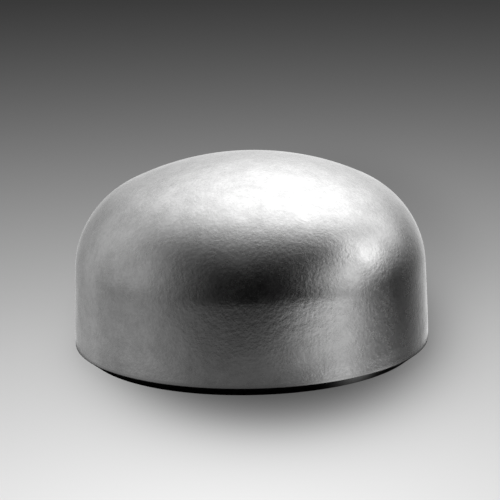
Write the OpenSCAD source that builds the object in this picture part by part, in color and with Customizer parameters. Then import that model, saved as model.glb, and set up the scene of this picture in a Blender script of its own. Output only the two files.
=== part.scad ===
// Butt-welding pipe cap, NPS 4 (DN 100), schedule 40: one pressed steel shell.
// A straight gauge band carries the weld preparation, the skirt leans in slightly
// above it, and a knuckle and a spherical crown close the end (a torispherical head).
// The origin is the centre of the weld end, on the plane of the root face, and +Z
// points out through the crown.

/* [Pipe end] */
// Outside diameter at the weld end, which is that of the pipe
outside_d = 114.3; // [110:0.1:118]
// Wall thickness at the weld end, which is that of the pipe
weld_wall = 6.02; // [4.5:0.01:6.4]
// Length from the weld end to the top of the crown
cap_length = 63.5; // [62:0.5:68]

/* [Weld preparation] */
// Width of the flat root face at the weld end
root_face = 1.6; // [0.8:0.1:2.4]
// Angle of the bevel, measured from the plane of the weld end
bevel_angle = 37.5; // [30:0.5:40]
// Height of the straight outside band above the bevel
gauge_band = 5; // [3:0.5:8]
// Depth to which the bore is turned to the pipe's inside diameter
bore_depth = 12; // [8:0.5:14]
// Angle of the taper from the turned bore into the pressed wall, from the axis
bore_taper = 18; // [14:1:30]

/* [Pressed shell] */
// Wall thickness of the pressed shell above the turned bore
shell_wall = 6.5; // [6.5:0.1:8]
// Angle at which the skirt leans in, from the axis
skirt_draft = 2; // [1:0.5:3]
// Outside radius of the knuckle between the skirt and the crown
knuckle_r = 30; // [26:0.5:32]
// Outside radius of the spherical crown
crown_r = 90; // [86:1:96]

/* [Hidden] */
$fn = 240;

outside_r = outside_d / 2;
bore_r = outside_r - weld_wall;
bevel_top = (weld_wall - root_face) * tan(bevel_angle);
band_top = bevel_top + gauge_band;
past = 1; // how far the hollow runs past the weld end and the axis, for a clean cut
lap = 0.001; // how far the knuckle stands proud where it joins skirt and crown

// Unit vectors at the skirt: out of its surface, and up along it.
skirt_out = [cos(skirt_draft), sin(skirt_draft)];
skirt_up = [-sin(skirt_draft), cos(skirt_draft)];

// The knuckle's centre lies a knuckle radius inside the skirt line, and as far up it
// as makes the knuckle touch the crown from inside.
crown_centre = [0, cap_length - crown_r];
from_crown = [outside_r, band_top] - knuckle_r * skirt_out - crown_centre;
along = from_crown * skirt_up;
gap = from_crown * from_crown - (crown_r - knuckle_r) ^ 2;
knuckle_centre = crown_centre + from_crown + (sqrt(along * along - gap) - along) * skirt_up;
to_knuckle = knuckle_centre - crown_centre;
crown_out = to_knuckle / norm(to_knuckle);

// Height at which the bore's taper meets the pressed wall.
pressed_r = outside_r + band_top * tan(skirt_draft) - shell_wall / cos(skirt_draft);
taper_top = (bore_r + bore_depth * tan(bore_taper) - pressed_r)
    / (tan(bore_taper) - tan(skirt_draft));
taper_r = bore_r - (taper_top - bore_depth) * tan(bore_taper);

// What the knuckle takes off the corner between the skirt and the crown.
module corner_section(inset) {
    reach = 2 * knuckle_r;
    difference() {
        polygon([
            knuckle_centre,
            knuckle_centre + reach * skirt_out,
            knuckle_centre + reach * crown_out,
        ]);
        translate(knuckle_centre) circle(r = knuckle_r - inset + lap);
    }
}

// Half section of a filled head, `inset` inside the outside surface. `foot` is its
// corner at the axis, and `side` lists the points of its side up to the drafted skirt.
module head_section(inset, foot, side) {
    skirt_top = knuckle_centre + (knuckle_r - inset) * skirt_out + cap_length * skirt_up;
    difference() {
        intersection() {
            translate(crown_centre) circle(r = crown_r - inset);
            polygon(concat([foot], side, [skirt_top, [foot[0], cap_length + past]]));
        }
        corner_section(inset);
    }
}

module outside_section() {
    head_section(0, [0, 0], [
        [bore_r + root_face, 0],
        [outside_r, bevel_top],
        [outside_r, band_top],
    ]);
}

module hollow_section() {
    head_section(shell_wall, [-past, -past], [
        [bore_r, -past],
        [bore_r, bore_depth],
        [taper_r, taper_top],
    ]);
}

module cap_shell() {
    color("darkgray")
    rotate_extrude() difference() {
        outside_section();
        hollow_section();
    }
}

cap_shell();
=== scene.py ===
import math

import bmesh
import bpy
from mathutils import Matrix, Vector, noise


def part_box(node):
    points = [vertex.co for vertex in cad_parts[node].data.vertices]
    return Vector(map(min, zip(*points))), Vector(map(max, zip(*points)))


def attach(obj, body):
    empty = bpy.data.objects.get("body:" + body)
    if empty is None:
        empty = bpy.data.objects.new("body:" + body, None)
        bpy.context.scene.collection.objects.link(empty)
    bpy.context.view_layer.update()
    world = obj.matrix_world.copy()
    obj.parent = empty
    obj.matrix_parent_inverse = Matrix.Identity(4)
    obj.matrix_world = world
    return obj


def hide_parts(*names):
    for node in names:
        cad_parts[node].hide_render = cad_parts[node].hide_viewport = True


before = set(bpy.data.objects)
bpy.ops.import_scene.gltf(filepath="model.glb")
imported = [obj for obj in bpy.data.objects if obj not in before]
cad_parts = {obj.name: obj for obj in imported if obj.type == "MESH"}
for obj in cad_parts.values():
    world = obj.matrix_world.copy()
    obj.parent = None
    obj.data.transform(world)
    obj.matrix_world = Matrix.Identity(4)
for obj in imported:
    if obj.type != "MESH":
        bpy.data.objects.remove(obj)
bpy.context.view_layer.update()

MM = 0.001

# ---------------------------------------------------------------- the cap's section
# The driving dimensions of part.scad, in metres; diameter and length come from the frame.
CAP_LO, CAP_HI = (Vector(corner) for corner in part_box("cap_shell"))
OUTSIDE_R = (CAP_HI.x - CAP_LO.x) / 2
LENGTH = CAP_HI.z - CAP_LO.z
WELD_WALL = 6.02 * MM
ROOT_FACE = 1.6 * MM
BEVEL_ANGLE = math.radians(37.5)
GAUGE_BAND = 5 * MM
BORE_DEPTH = 12 * MM
BORE_TAPER = math.radians(18)
SHELL_WALL = 6.5 * MM
SKIRT_DRAFT = math.radians(2)
KNUCKLE_R = 30 * MM
CROWN_R = 90 * MM

BORE_R = OUTSIDE_R - WELD_WALL
BEVEL_TOP = (WELD_WALL - ROOT_FACE) * math.tan(BEVEL_ANGLE)
BAND_TOP = BEVEL_TOP + GAUGE_BAND

# Radius of the break on the bevel's top edge and on the root face's two edges.
BEVEL_BREAK = 0.25 * MM
ROOT_BREAK = 0.2 * MM

# Distance between rings on the large faces, on the small ones and on broken edges.
RING_STEP = 1.0 * MM
SMALL_STEP = RING_STEP / 2
FINE_STEP = 0.08 * MM
# Segments of the rings, and the width of face under which a ring gets half as many.
SEGMENTS = 384
FEWEST_SEGMENTS = 24
NARROW_FACE = 0.5 * MM
# A ring narrower than this is one point on the axis.
POLE_R = RING_STEP / 4

# Zones of the surface, which are also the piece's material slots.
OUTER, TURNED, INNER = range(3)


def direction(angle):
    return Vector((math.cos(angle), math.sin(angle)))


def crown_centre():
    return Vector((0, LENGTH - CROWN_R))


def knuckle_centre():
    """Where a knuckle that touches the drafted skirt touches the crown from inside."""
    up = Vector((-math.sin(SKIRT_DRAFT), math.cos(SKIRT_DRAFT)))
    start = Vector((OUTSIDE_R, BAND_TOP)) - KNUCKLE_R * direction(SKIRT_DRAFT)
    from_crown = start - crown_centre()
    along = from_crown.dot(up)
    gap = from_crown.length_squared - (CROWN_R - KNUCKLE_R) ** 2
    return start + (math.sqrt(along * along - gap) - along) * up


def arc(centre, radius, start, end, step):
    """Points of an arc, both ends included."""
    count = max(2, math.ceil(abs(end - start) * radius / step))
    return [centre + radius * direction(start + (end - start) * i / count)
            for i in range(count + 1)]


def straight(a, b, step):
    """Points of a straight stretch, without its ends."""
    count = max(1, math.ceil((b - a).length / step))
    return [a.lerp(b, i / count) for i in range(1, count)]


def broken_edge(before, corner, after, radius):
    """A small arc in place of a sharp corner."""
    a, b = (before - corner).normalized(), (after - corner).normalized()
    half = a.angle(b) / 2
    centre = corner + (a + b).normalized() * radius / math.sin(half)
    first = corner + a * radius / math.tan(half) - centre
    last = corner + b * radius / math.tan(half) - centre
    start = math.atan2(first.y, first.x)
    sweep = first.angle_signed(last)
    return arc(centre, radius, start, start - sweep, FINE_STEP)


def head_arcs(inset):
    """Crown and knuckle arcs, from the axis out to the skirt, `inset` inside the outside."""
    knuckle, crown = knuckle_centre(), crown_centre()
    spoke = knuckle - crown
    meet = math.atan2(spoke.y, spoke.x)
    top = arc(crown, CROWN_R - inset, math.pi / 2, meet, RING_STEP)
    return top + arc(knuckle, KNUCKLE_R - inset, meet, SKIRT_DRAFT, RING_STEP)[1:]


def section():
    """The half section as (point, zone), from the crown's top round to its underside."""
    outside = head_arcs(0)
    inside = head_arcs(SHELL_WALL)
    band_top = Vector((OUTSIDE_R, BAND_TOP))
    bevel_top = Vector((OUTSIDE_R, BEVEL_TOP))
    root_outer = Vector((BORE_R + ROOT_FACE, 0))
    root_inner = Vector((BORE_R, 0))
    bore_top = Vector((BORE_R, BORE_DEPTH))
    # The taper runs up from the bore until it meets the pressed wall's drafted line.
    lean, draft = math.tan(BORE_TAPER), math.tan(SKIRT_DRAFT)
    wall_at_weld = inside[-1].x + inside[-1].y * draft
    taper_z = (BORE_R + BORE_DEPTH * lean - wall_at_weld) / (lean - draft)
    taper_top = Vector((wall_at_weld - taper_z * draft, taper_z))

    upper_break = broken_edge(band_top, bevel_top, root_outer, BEVEL_BREAK)
    outer_break = broken_edge(bevel_top, root_outer, root_inner, ROOT_BREAK)
    inner_break = broken_edge(root_outer, root_inner, bore_top, ROOT_BREAK)

    stretches = [
        (OUTER, outside),
        (OUTER, straight(outside[-1], band_top, RING_STEP)),
        (OUTER, [band_top] + straight(band_top, upper_break[0], RING_STEP)),
        (TURNED, upper_break),
        (TURNED, straight(upper_break[-1], outer_break[0], SMALL_STEP)),
        (TURNED, outer_break),
        (TURNED, straight(outer_break[-1], inner_break[0], SMALL_STEP)),
        (TURNED, inner_break),
        (TURNED, straight(inner_break[-1], bore_top, RING_STEP)),
        (TURNED, [bore_top] + straight(bore_top, taper_top, SMALL_STEP)),
        (INNER, [taper_top] + straight(taper_top, inside[-1], RING_STEP)),
        (INNER, reversed(inside)),
    ]
    return [(point, zone) for zone, points in stretches for point in points]


# Unevenness left by pressing and heat: wavelength and height of each layer.
FORMING = [(42 * MM, 0.13 * MM), (15 * MM, 0.022 * MM), (6.5 * MM, 0.006 * MM)]
# Where the cap lies in the noise, and the height below which the unevenness dies away.
FORMING_SEED = Vector((3.7, 1.3, 8.1))
FORMING_FADE = 14 * MM


def unevenness(p):
    """How far the pressed surface stands out at a point; it dies away at the weld end."""
    height = sum(size * noise.noise(p / length + FORMING_SEED) for length, size in FORMING)
    return height * min(1, p.z / FORMING_FADE) ** 2


def ring_segments(radius):
    """Segments of a ring: halved towards the axis, so that the faces there don't get thin."""
    count = SEGMENTS
    while count > FEWEST_SEGMENTS and 2 * math.pi * radius / count < NARROW_FACE:
        count //= 2
    return count


def mesh_data(name, mesh):
    """The mesh data of a finished bmesh, which is freed."""
    data = bpy.data.meshes.new(name)
    mesh.to_mesh(data)
    mesh.free()
    return data


def new_object(name, data, height=0.0):
    made = bpy.data.objects.new(name, data)
    bpy.context.collection.objects.link(made)
    made.location.z = height
    return made


def faces_between(upper, lower):
    """Corners of the faces between two rings, where one may have half the other's points.

    The ring at the axis is a single point, which triangles join to the next ring.
    """
    fine, coarse = (upper, lower) if len(upper) >= len(lower) else (lower, upper)
    n, m = len(fine), len(coarse)
    if m == 1:
        return [(fine[i], fine[(i + 1) % n], coarse[0]) for i in range(n)]
    if n == m:
        return [(fine[i], fine[(i + 1) % n], coarse[(i + 1) % n], coarse[i]) for i in range(n)]
    faces = []
    for i in range(m):
        a, b, c = fine[2 * i], fine[2 * i + 1], fine[(2 * i + 2) % n]
        d, e = coarse[i], coarse[(i + 1) % m]
        faces += [(a, b, d), (b, e, d), (b, c, e)]
    return faces


def cap_mesh():
    """The section turned round the axis, then made slightly uneven."""
    mesh = bmesh.new()
    rows = section()
    rings = []
    for point, _ in rows:
        if point.x < POLE_R:
            rings.append([mesh.verts.new((0, 0, point.y))])
            continue
        count = ring_segments(point.x)
        rings.append([
            mesh.verts.new((point.x * math.cos(a), point.x * math.sin(a), point.y))
            for a in (2 * math.pi * i / count for i in range(count))])

    for upper, lower, (_, zone) in zip(rings, rings[1:], rows[1:]):
        for corners in faces_between(upper, lower):
            face = mesh.faces.new(corners)
            face.smooth = True
            face.material_index = zone
    bmesh.ops.recalc_face_normals(mesh, faces=mesh.faces)
    mesh.normal_update()
    shifts = [(v, v.normal * unevenness(v.co)) for v in mesh.verts]
    for v, shift in shifts:
        v.co += shift
    return mesh_data("cap_steel", mesh)


# ---------------------------------------------------------------- materials

# Most of a noise texture's values lie between these two.
NOISE_LOW = 0.3
NOISE_HIGH = 0.7


class Nodes:
    """Short calls for building a node tree."""

    def __init__(self, tree):
        self.tree = tree
        tree.nodes.clear()

    def new(self, kind, inputs=None, **settings):
        node = self.tree.nodes.new(kind)
        for name, value in settings.items():
            setattr(node, name, value)
        for name, value in (inputs or {}).items():
            if isinstance(value, bpy.types.NodeSocket):
                self.tree.links.new(value, node.inputs[name])
            else:
                node.inputs[name].default_value = value
        return node

    def math(self, operation, *values):
        inputs = dict(enumerate(values))
        return self.new("ShaderNodeMath", inputs, operation=operation).outputs[0]

    def vector(self, operation, *values):
        inputs = dict(enumerate(values))
        node = self.new("ShaderNodeVectorMath", inputs, operation=operation)
        scalar = operation in ("DOT_PRODUCT", "LENGTH", "DISTANCE")
        return node.outputs["Value" if scalar else "Vector"]

    def add(self, total, *values):
        for value in values:
            total = self.math("ADD", total, value)
        return total

    def place(self):
        """The point being shaded, in the object's own coordinates."""
        return self.new("ShaderNodeTexCoord").outputs["Object"]

    def noise(self, place, wavelength, detail=2.0, rough=0.5):
        inputs = {"Vector": place, "Scale": 1 / wavelength, "Detail": detail,
                  "Roughness": rough}
        return self.new("ShaderNodeTexNoise", inputs).outputs["Fac"]

    def spread(self, noise, low, high):
        """A noise stretched to run from `low` to `high`."""
        inputs = {"Value": noise, "From Min": NOISE_LOW, "From Max": NOISE_HIGH,
                  "To Min": low, "To Max": high}
        return self.new("ShaderNodeMapRange", inputs).outputs[0]

    def bump(self, height, depth, normal=None):
        inputs = {"Height": height, "Distance": depth, "Strength": 1.0}
        if normal:
            inputs["Normal"] = normal
        return self.new("ShaderNodeBump", inputs).outputs[0]

    def grey(self, value):
        inputs = {"Red": value, "Green": value, "Blue": value}
        return self.new("ShaderNodeCombineColor", inputs).outputs[0]

    def surface(self, shader):
        self.new("ShaderNodeOutputMaterial", {"Surface": shader})


def new_material(name):
    material = bpy.data.materials.new(name)
    material.use_nodes = True
    return material, Nodes(material.node_tree)


# How much of its gloss rough steel keeps at grazing angles.
EDGE_TINT = (0.8, 0.8, 0.8, 1)


def metal(n, tone, roughness, normal):
    shader = n.new("ShaderNodeBsdfPrincipled", {
        "Base Color": n.grey(tone), "Metallic": 1.0, "Roughness": roughness,
        "Specular Tint": EDGE_TINT, "Normal": normal})
    n.surface(shader.outputs[0])


def blasted_steel():
    """Pressed and shot-blasted outside: pebbled grain, small dents and cloudy tone."""
    material, n = new_material("blasted_steel")
    place = n.place()
    grain = n.noise(place, 1.0 * MM, rough=0.6)
    pebble = n.noise(place, 2.6 * MM)
    mottle = n.noise(place, 6 * MM, detail=4.0, rough=0.65)
    cloud = n.noise(place, 24 * MM, detail=3.0)
    tone = n.add(
        n.spread(mottle, 0.53, 0.63),
        n.spread(cloud, -0.02, 0.02),
        n.spread(grain, -0.04, 0.04),
        n.spread(pebble, -0.02, 0.02))
    rough = n.add(n.spread(mottle, 0.29, 0.22), n.spread(grain, -0.02, 0.02))
    normal = n.bump(pebble, depth=0.045 * MM)
    normal = n.bump(grain, depth=0.065 * MM, normal=normal)
    metal(n, tone, rough, normal)
    return material


# Distance between the marks that the tool leaves on the turned weld end.
FEED_PITCH = 0.32 * MM


def turned_steel():
    """Turned weld end: fine feed marks and faint streaks round the cut."""
    material, n = new_material("turned_steel")
    place = n.place()
    axes = n.new("ShaderNodeSeparateXYZ", {"Vector": place})
    flat = n.new("ShaderNodeCombineXYZ", {"X": axes.outputs[0], "Y": axes.outputs[1]}).outputs[0]
    across = n.add(n.vector("LENGTH", flat), axes.outputs[2])
    feed = n.math("SINE", n.math("MULTIPLY", across, 2 * math.pi / FEED_PITCH))
    chatter = n.noise(place, 3 * MM, detail=3.0)
    streak_place = n.new("ShaderNodeCombineXYZ", {"X": across}).outputs[0]
    streak = n.noise(streak_place, 0.5 * MM, detail=3.0)
    tone = n.add(n.spread(streak, 0.52, 0.62), n.spread(chatter, -0.02, 0.02))
    rough = n.add(n.spread(streak, 0.22, 0.32), n.spread(chatter, 0.0, 0.04))
    normal = n.bump(n.math("MULTIPLY", feed, 0.5), depth=0.004 * MM)
    normal = n.bump(chatter, depth=0.01 * MM, normal=normal)
    metal(n, tone, rough, normal)
    return material


def scaled_steel():
    """Pressed inside: a thin, dull, cloudy oxide over a fine grain."""
    material, n = new_material("scaled_steel")
    place = n.place()
    grain = n.noise(place, 0.9 * MM, detail=3.0, rough=0.6)
    pebble = n.noise(place, 2.6 * MM)
    cloud = n.noise(place, 14 * MM, detail=5.0, rough=0.6)
    tone = n.add(n.spread(cloud, 0.32, 0.44), n.spread(grain, -0.03, 0.03))
    rough = n.spread(cloud, 0.54, 0.42)
    normal = n.bump(pebble, depth=0.05 * MM)
    normal = n.bump(grain, depth=0.02 * MM, normal=normal)
    metal(n, tone, rough, normal)
    return material


# ---------------------------------------------------------------- stage and light

# Soft lights of the studio, each a smooth patch of sky: the direction it lies in, as
# azimuth (0 is the camera's side, 90 its right) and elevation, the half width at half
# strength, in degrees, and the strength. Those below the horizon are bounce boards.
LIGHTS = {
    "overhead_box": (180, 80, 25, 0.9),
    "back_right_box": (120, 55, 18, 0.9),
    "front_card": (-10, 45, 8, 0.06),
    "back_box": (170, 40, 25, 1.7),
    "back_left_box": (-120, 30, 22, 0.5),
    "back_right_strip": (120, 25, 12, 0.8),
    "right_strip": (90, 25, 12, 1.7),
    "right_board": (65, 10, 14, 1.0),
    "left_board": (-80, 10, 25, 0.4),
    "back_left_board": (-130, -5, 18, 0.4),
    "back_floor_board": (175, -15, 22, 1.2),
    "front_right_floor_board": (60, -30, 12, 1.0),
    "right_floor_board": (95, -35, 8, 2.6),
}

# Soft glows of the floor near the cap, which only the metal sees: the place of each, its
# radius (as a standard deviation), in metres, and its strength.
GLOWS = {
    "front_glow": (-0.05, -0.06, 0.095, 0.15),
    "right_glow": (0.125, -0.14, 0.04, 0.7),
    "streak_glow": (0.055, -0.105, 0.02, 0.3),
}
# The light that creeps under the rim at the front right, in the same form.
RIM_GLOW = (0.036, -0.0485, 0.0045, 0.28)


def toward(azimuth, elevation):
    a, e = math.radians(azimuth), math.radians(elevation)
    return Vector((math.sin(a) * math.cos(e), -math.cos(a) * math.cos(e), math.sin(e)))


def bell(n, place, x, y, spread, strength):
    """A round glow in the plane z = 0 of `place`: a bell curve of the distance from (x, y)."""
    away = n.math("DIVIDE", n.vector("DISTANCE", place, (x, y, 0)), spread)
    curve = n.math("EXPONENT", n.math("MULTIPLY", n.math("MULTIPLY", away, away), -0.5))
    return n.math("MULTIPLY", curve, strength)


def studio_light():
    """The soft lights as one sky that only the metal sees; a lamp lights the floor."""
    world = bpy.data.worlds.new("studio")
    world.use_nodes = True
    bpy.context.scene.world = world
    world.cycles_visibility.diffuse = False
    n = Nodes(world.node_tree)
    look = n.new("ShaderNodeTexCoord").outputs["Generated"]
    total = 0.0
    for azimuth, elevation, half_width, strength in LIGHTS.values():
        sharpness = math.log(2) / (1 - math.cos(math.radians(half_width)))
        facing = n.vector("DOT_PRODUCT", look, toward(azimuth, elevation))
        off_axis = n.math("SUBTRACT", facing, 1.0)
        falloff = n.math("EXPONENT", n.math("MULTIPLY", off_axis, sharpness))
        total = n.add(total, n.math("MULTIPLY", falloff, strength))
    sky = n.new("ShaderNodeBackground", {"Color": n.grey(total), "Strength": 1.0})
    n.new("ShaderNodeOutputWorld", {"Surface": sky.outputs[0]})


# The lamp that lights the floor from straight above: its height and width, in metres, and
# its power in watts. It throws no shadows; the cap's own are painted on the floor.
LAMP_HEIGHT = 1.4
LAMP_WIDTH = 1.2
LAMP_POWER = 25.5


def floor_lamp():
    data = bpy.data.lights.new("floor_lamp", "AREA")
    data.shape = "DISK"
    data.size = LAMP_WIDTH
    data.energy = LAMP_POWER
    data.use_shadow = False
    lamp = new_object("floor_lamp", data, CAP_LO.z + LAMP_HEIGHT)
    lamp.visible_camera = False
    lamp.visible_glossy = False


# The floor's tone carries a painted pool of light: palest a little in front of the cap, and
# darker evenly from there, up to walls that only a low camera sees. Sizes are in metres.
FLOOR_SIZE = 6.0
WALL_HEIGHT = 1.0
FLOOR_LIGHT_POOL_CENTRE = Vector((-0.01, -0.2, 0))
FLOOR_TONE = 0.95
FLOOR_FAR_TONE = 0.028
FLOOR_FALLOFF = 3.35
# The cap's painted shadows, soft-edged ellipses on the floor: the centre, half width and
# half depth of each, in metres, its edge's blur as a share of its size, and its strength.
SHADOWS = {
    "cap_shadow": (0.006, 0.02, 0.054, 0.105, 0.12, 0.9),
    "back_right_shadow": (0.035, 0.15, 0.045, 0.135, 0.15, 0.25),
}
# The disc of painted contact shadow under the cap, and the sheet that carries the
# glows: how large they are and how far under the floor. Only the metal sees them.
CONTACT_R = OUTSIDE_R + 4.5 * MM
CONTACT_SIDES = 96
CONTACT_DROP = 0.1 * MM
GLOW_SIZE = 1.2
GLOW_DROP = 0.2 * MM
# Distance over which the glows come in, going outwards from the cap's edge.
GLOW_EDGE = 6 * MM


def studio_floor():
    half = FLOOR_SIZE / 2
    foot = [(-half, -half, 0), (half, -half, 0), (half, half, 0), (-half, half, 0)]
    head = [(x, y, WALL_HEIGHT) for x, y, _ in foot]
    walls = [(i, (i + 1) % 4, (i + 1) % 4 + 4, i + 4) for i in range(4)]
    data = bpy.data.meshes.new("floor")
    data.from_pydata(foot + head, [], [(0, 1, 2, 3)] + walls)
    floor = new_object("floor", data, CAP_LO.z)
    # The boards light the cap's lower half through the floor, as a sweep of card would.
    floor.visible_glossy = False
    floor.visible_shadow = False
    material, n = new_material("pale_floor")
    place = n.place()
    # Painted light: the tone fades away from a bright pool in front of the cap; the shadows
    # below are painted too.
    away = n.vector("DISTANCE", place, FLOOR_LIGHT_POOL_CENTRE)
    light_pool = n.math("EXPONENT", n.math("MULTIPLY", away, -FLOOR_FALLOFF))
    tone = n.add(n.math("MULTIPLY", light_pool, FLOOR_TONE - FLOOR_FAR_TONE), FLOOR_FAR_TONE)
    for x, y, half_width, half_depth, blur, strength in SHADOWS.values():
        from_centre = n.vector("SUBTRACT", place, (x, y, 0))
        reach = n.vector("LENGTH", n.vector("DIVIDE", from_centre, (half_width, half_depth, 1)))
        edge = n.math("EXPONENT", n.math("DIVIDE", n.math("SUBTRACT", reach, 1.0), blur))
        shadow = n.math("DIVIDE", strength, n.add(edge, 1.0))
        tone = n.math("MULTIPLY", tone, n.math("SUBTRACT", 1.0, shadow))
    shader = n.new("ShaderNodeBsdfDiffuse", {"Color": n.grey(tone)})
    n.surface(shader.outputs[0])
    data.materials.append(material)


def contact_dark():
    """A disc just under the floor: a painted contact shadow, which only the metal sees in
    reflection.

    It is black but for the light under the rim.
    """
    mesh = bmesh.new()
    bmesh.ops.create_circle(mesh, cap_ends=True, radius=CONTACT_R, segments=CONTACT_SIDES)
    data = mesh_data("contact_dark", mesh)
    disc = new_object("contact_dark", data, CAP_LO.z - CONTACT_DROP)
    disc.visible_camera = False
    disc.visible_diffuse = False
    material, n = new_material("painted_contact_shadow")
    material.cycles.emission_sampling = "NONE"
    place = n.place()
    under_cap = n.math("LESS_THAN", n.vector("LENGTH", place), OUTSIDE_R)
    light = n.math("MULTIPLY", bell(n, place, *RIM_GLOW), under_cap)
    shader = n.new("ShaderNodeEmission", {"Color": n.grey(light), "Strength": 1.0})
    n.surface(shader.outputs[0])
    data.materials.append(material)


def floor_glow():
    """A clear sheet just under the floor, which carries the glows that the metal reflects."""
    mesh = bmesh.new()
    bmesh.ops.create_grid(mesh, x_segments=1, y_segments=1, size=GLOW_SIZE / 2)
    data = mesh_data("floor_glow", mesh)
    sheet = new_object("floor_glow", data, CAP_LO.z - GLOW_DROP)
    sheet.visible_camera = False
    sheet.visible_diffuse = False
    material, n = new_material("glow")
    material.cycles.emission_sampling = "NONE"
    place = n.place()
    total = n.add(*[bell(n, place, *glow) for glow in GLOWS.values()])
    outside = n.math("SUBTRACT", n.vector("LENGTH", place), OUTSIDE_R)
    clear = n.math("SUBTRACT", 1.0, n.math("EXPONENT", n.math("DIVIDE", outside, -GLOW_EDGE)))
    total = n.math("MULTIPLY", total, n.math("MAXIMUM", clear, 0.0))
    light = n.new("ShaderNodeEmission", {"Color": n.grey(total), "Strength": 1.0}).outputs[0]
    see_through = n.new("ShaderNodeBsdfTransparent").outputs[0]
    shader = n.new("ShaderNodeAddShader", {0: light, 1: see_through})
    n.surface(shader.outputs[0])
    data.materials.append(material)


# Camera: on the -Y side, looking slightly down at the cap's middle. Angles are in degrees,
# lens and sensor in millimetres, the shift is a share of the sensor's width.
CAMERA_DISTANCE = 14 * OUTSIDE_R
CAMERA_ELEVATION = 14.07
CAMERA_ROLL = -1.25
CAMERA_LENS = 178.7
CAMERA_SENSOR = 36
CAMERA_SHIFT_Y = 0.0044
# The nearest and farthest distance that the camera sees, in metres.
CAMERA_RANGE = (0.01, 20)


def studio_camera():
    data = bpy.data.cameras.new("camera")
    data.sensor_width = CAMERA_SENSOR
    data.lens = CAMERA_LENS
    data.shift_y = CAMERA_SHIFT_Y
    data.clip_start, data.clip_end = CAMERA_RANGE
    camera = new_object("camera", data)
    target = Vector((0, 0, CAP_LO.z + LENGTH / 2))
    back = toward(0, CAMERA_ELEVATION)
    aim = (-back).to_track_quat("-Z", "Y").to_matrix().to_4x4()
    roll = Matrix.Rotation(math.radians(CAMERA_ROLL), 4, "Z")
    camera.matrix_world = Matrix.Translation(target + back * CAMERA_DISTANCE) @ aim @ roll
    bpy.context.scene.camera = camera


# ---------------------------------------------------------------- the scene

bpy.context.scene.view_settings.view_transform = "Standard"

cap = new_object("cap_steel", cap_mesh())
for make in (blasted_steel, turned_steel, scaled_steel):
    cap.data.materials.append(make())
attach(cap, "root")
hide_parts("cap_shell")

studio_floor()
contact_dark()
floor_glow()
studio_light()
floor_lamp()
studio_camera()
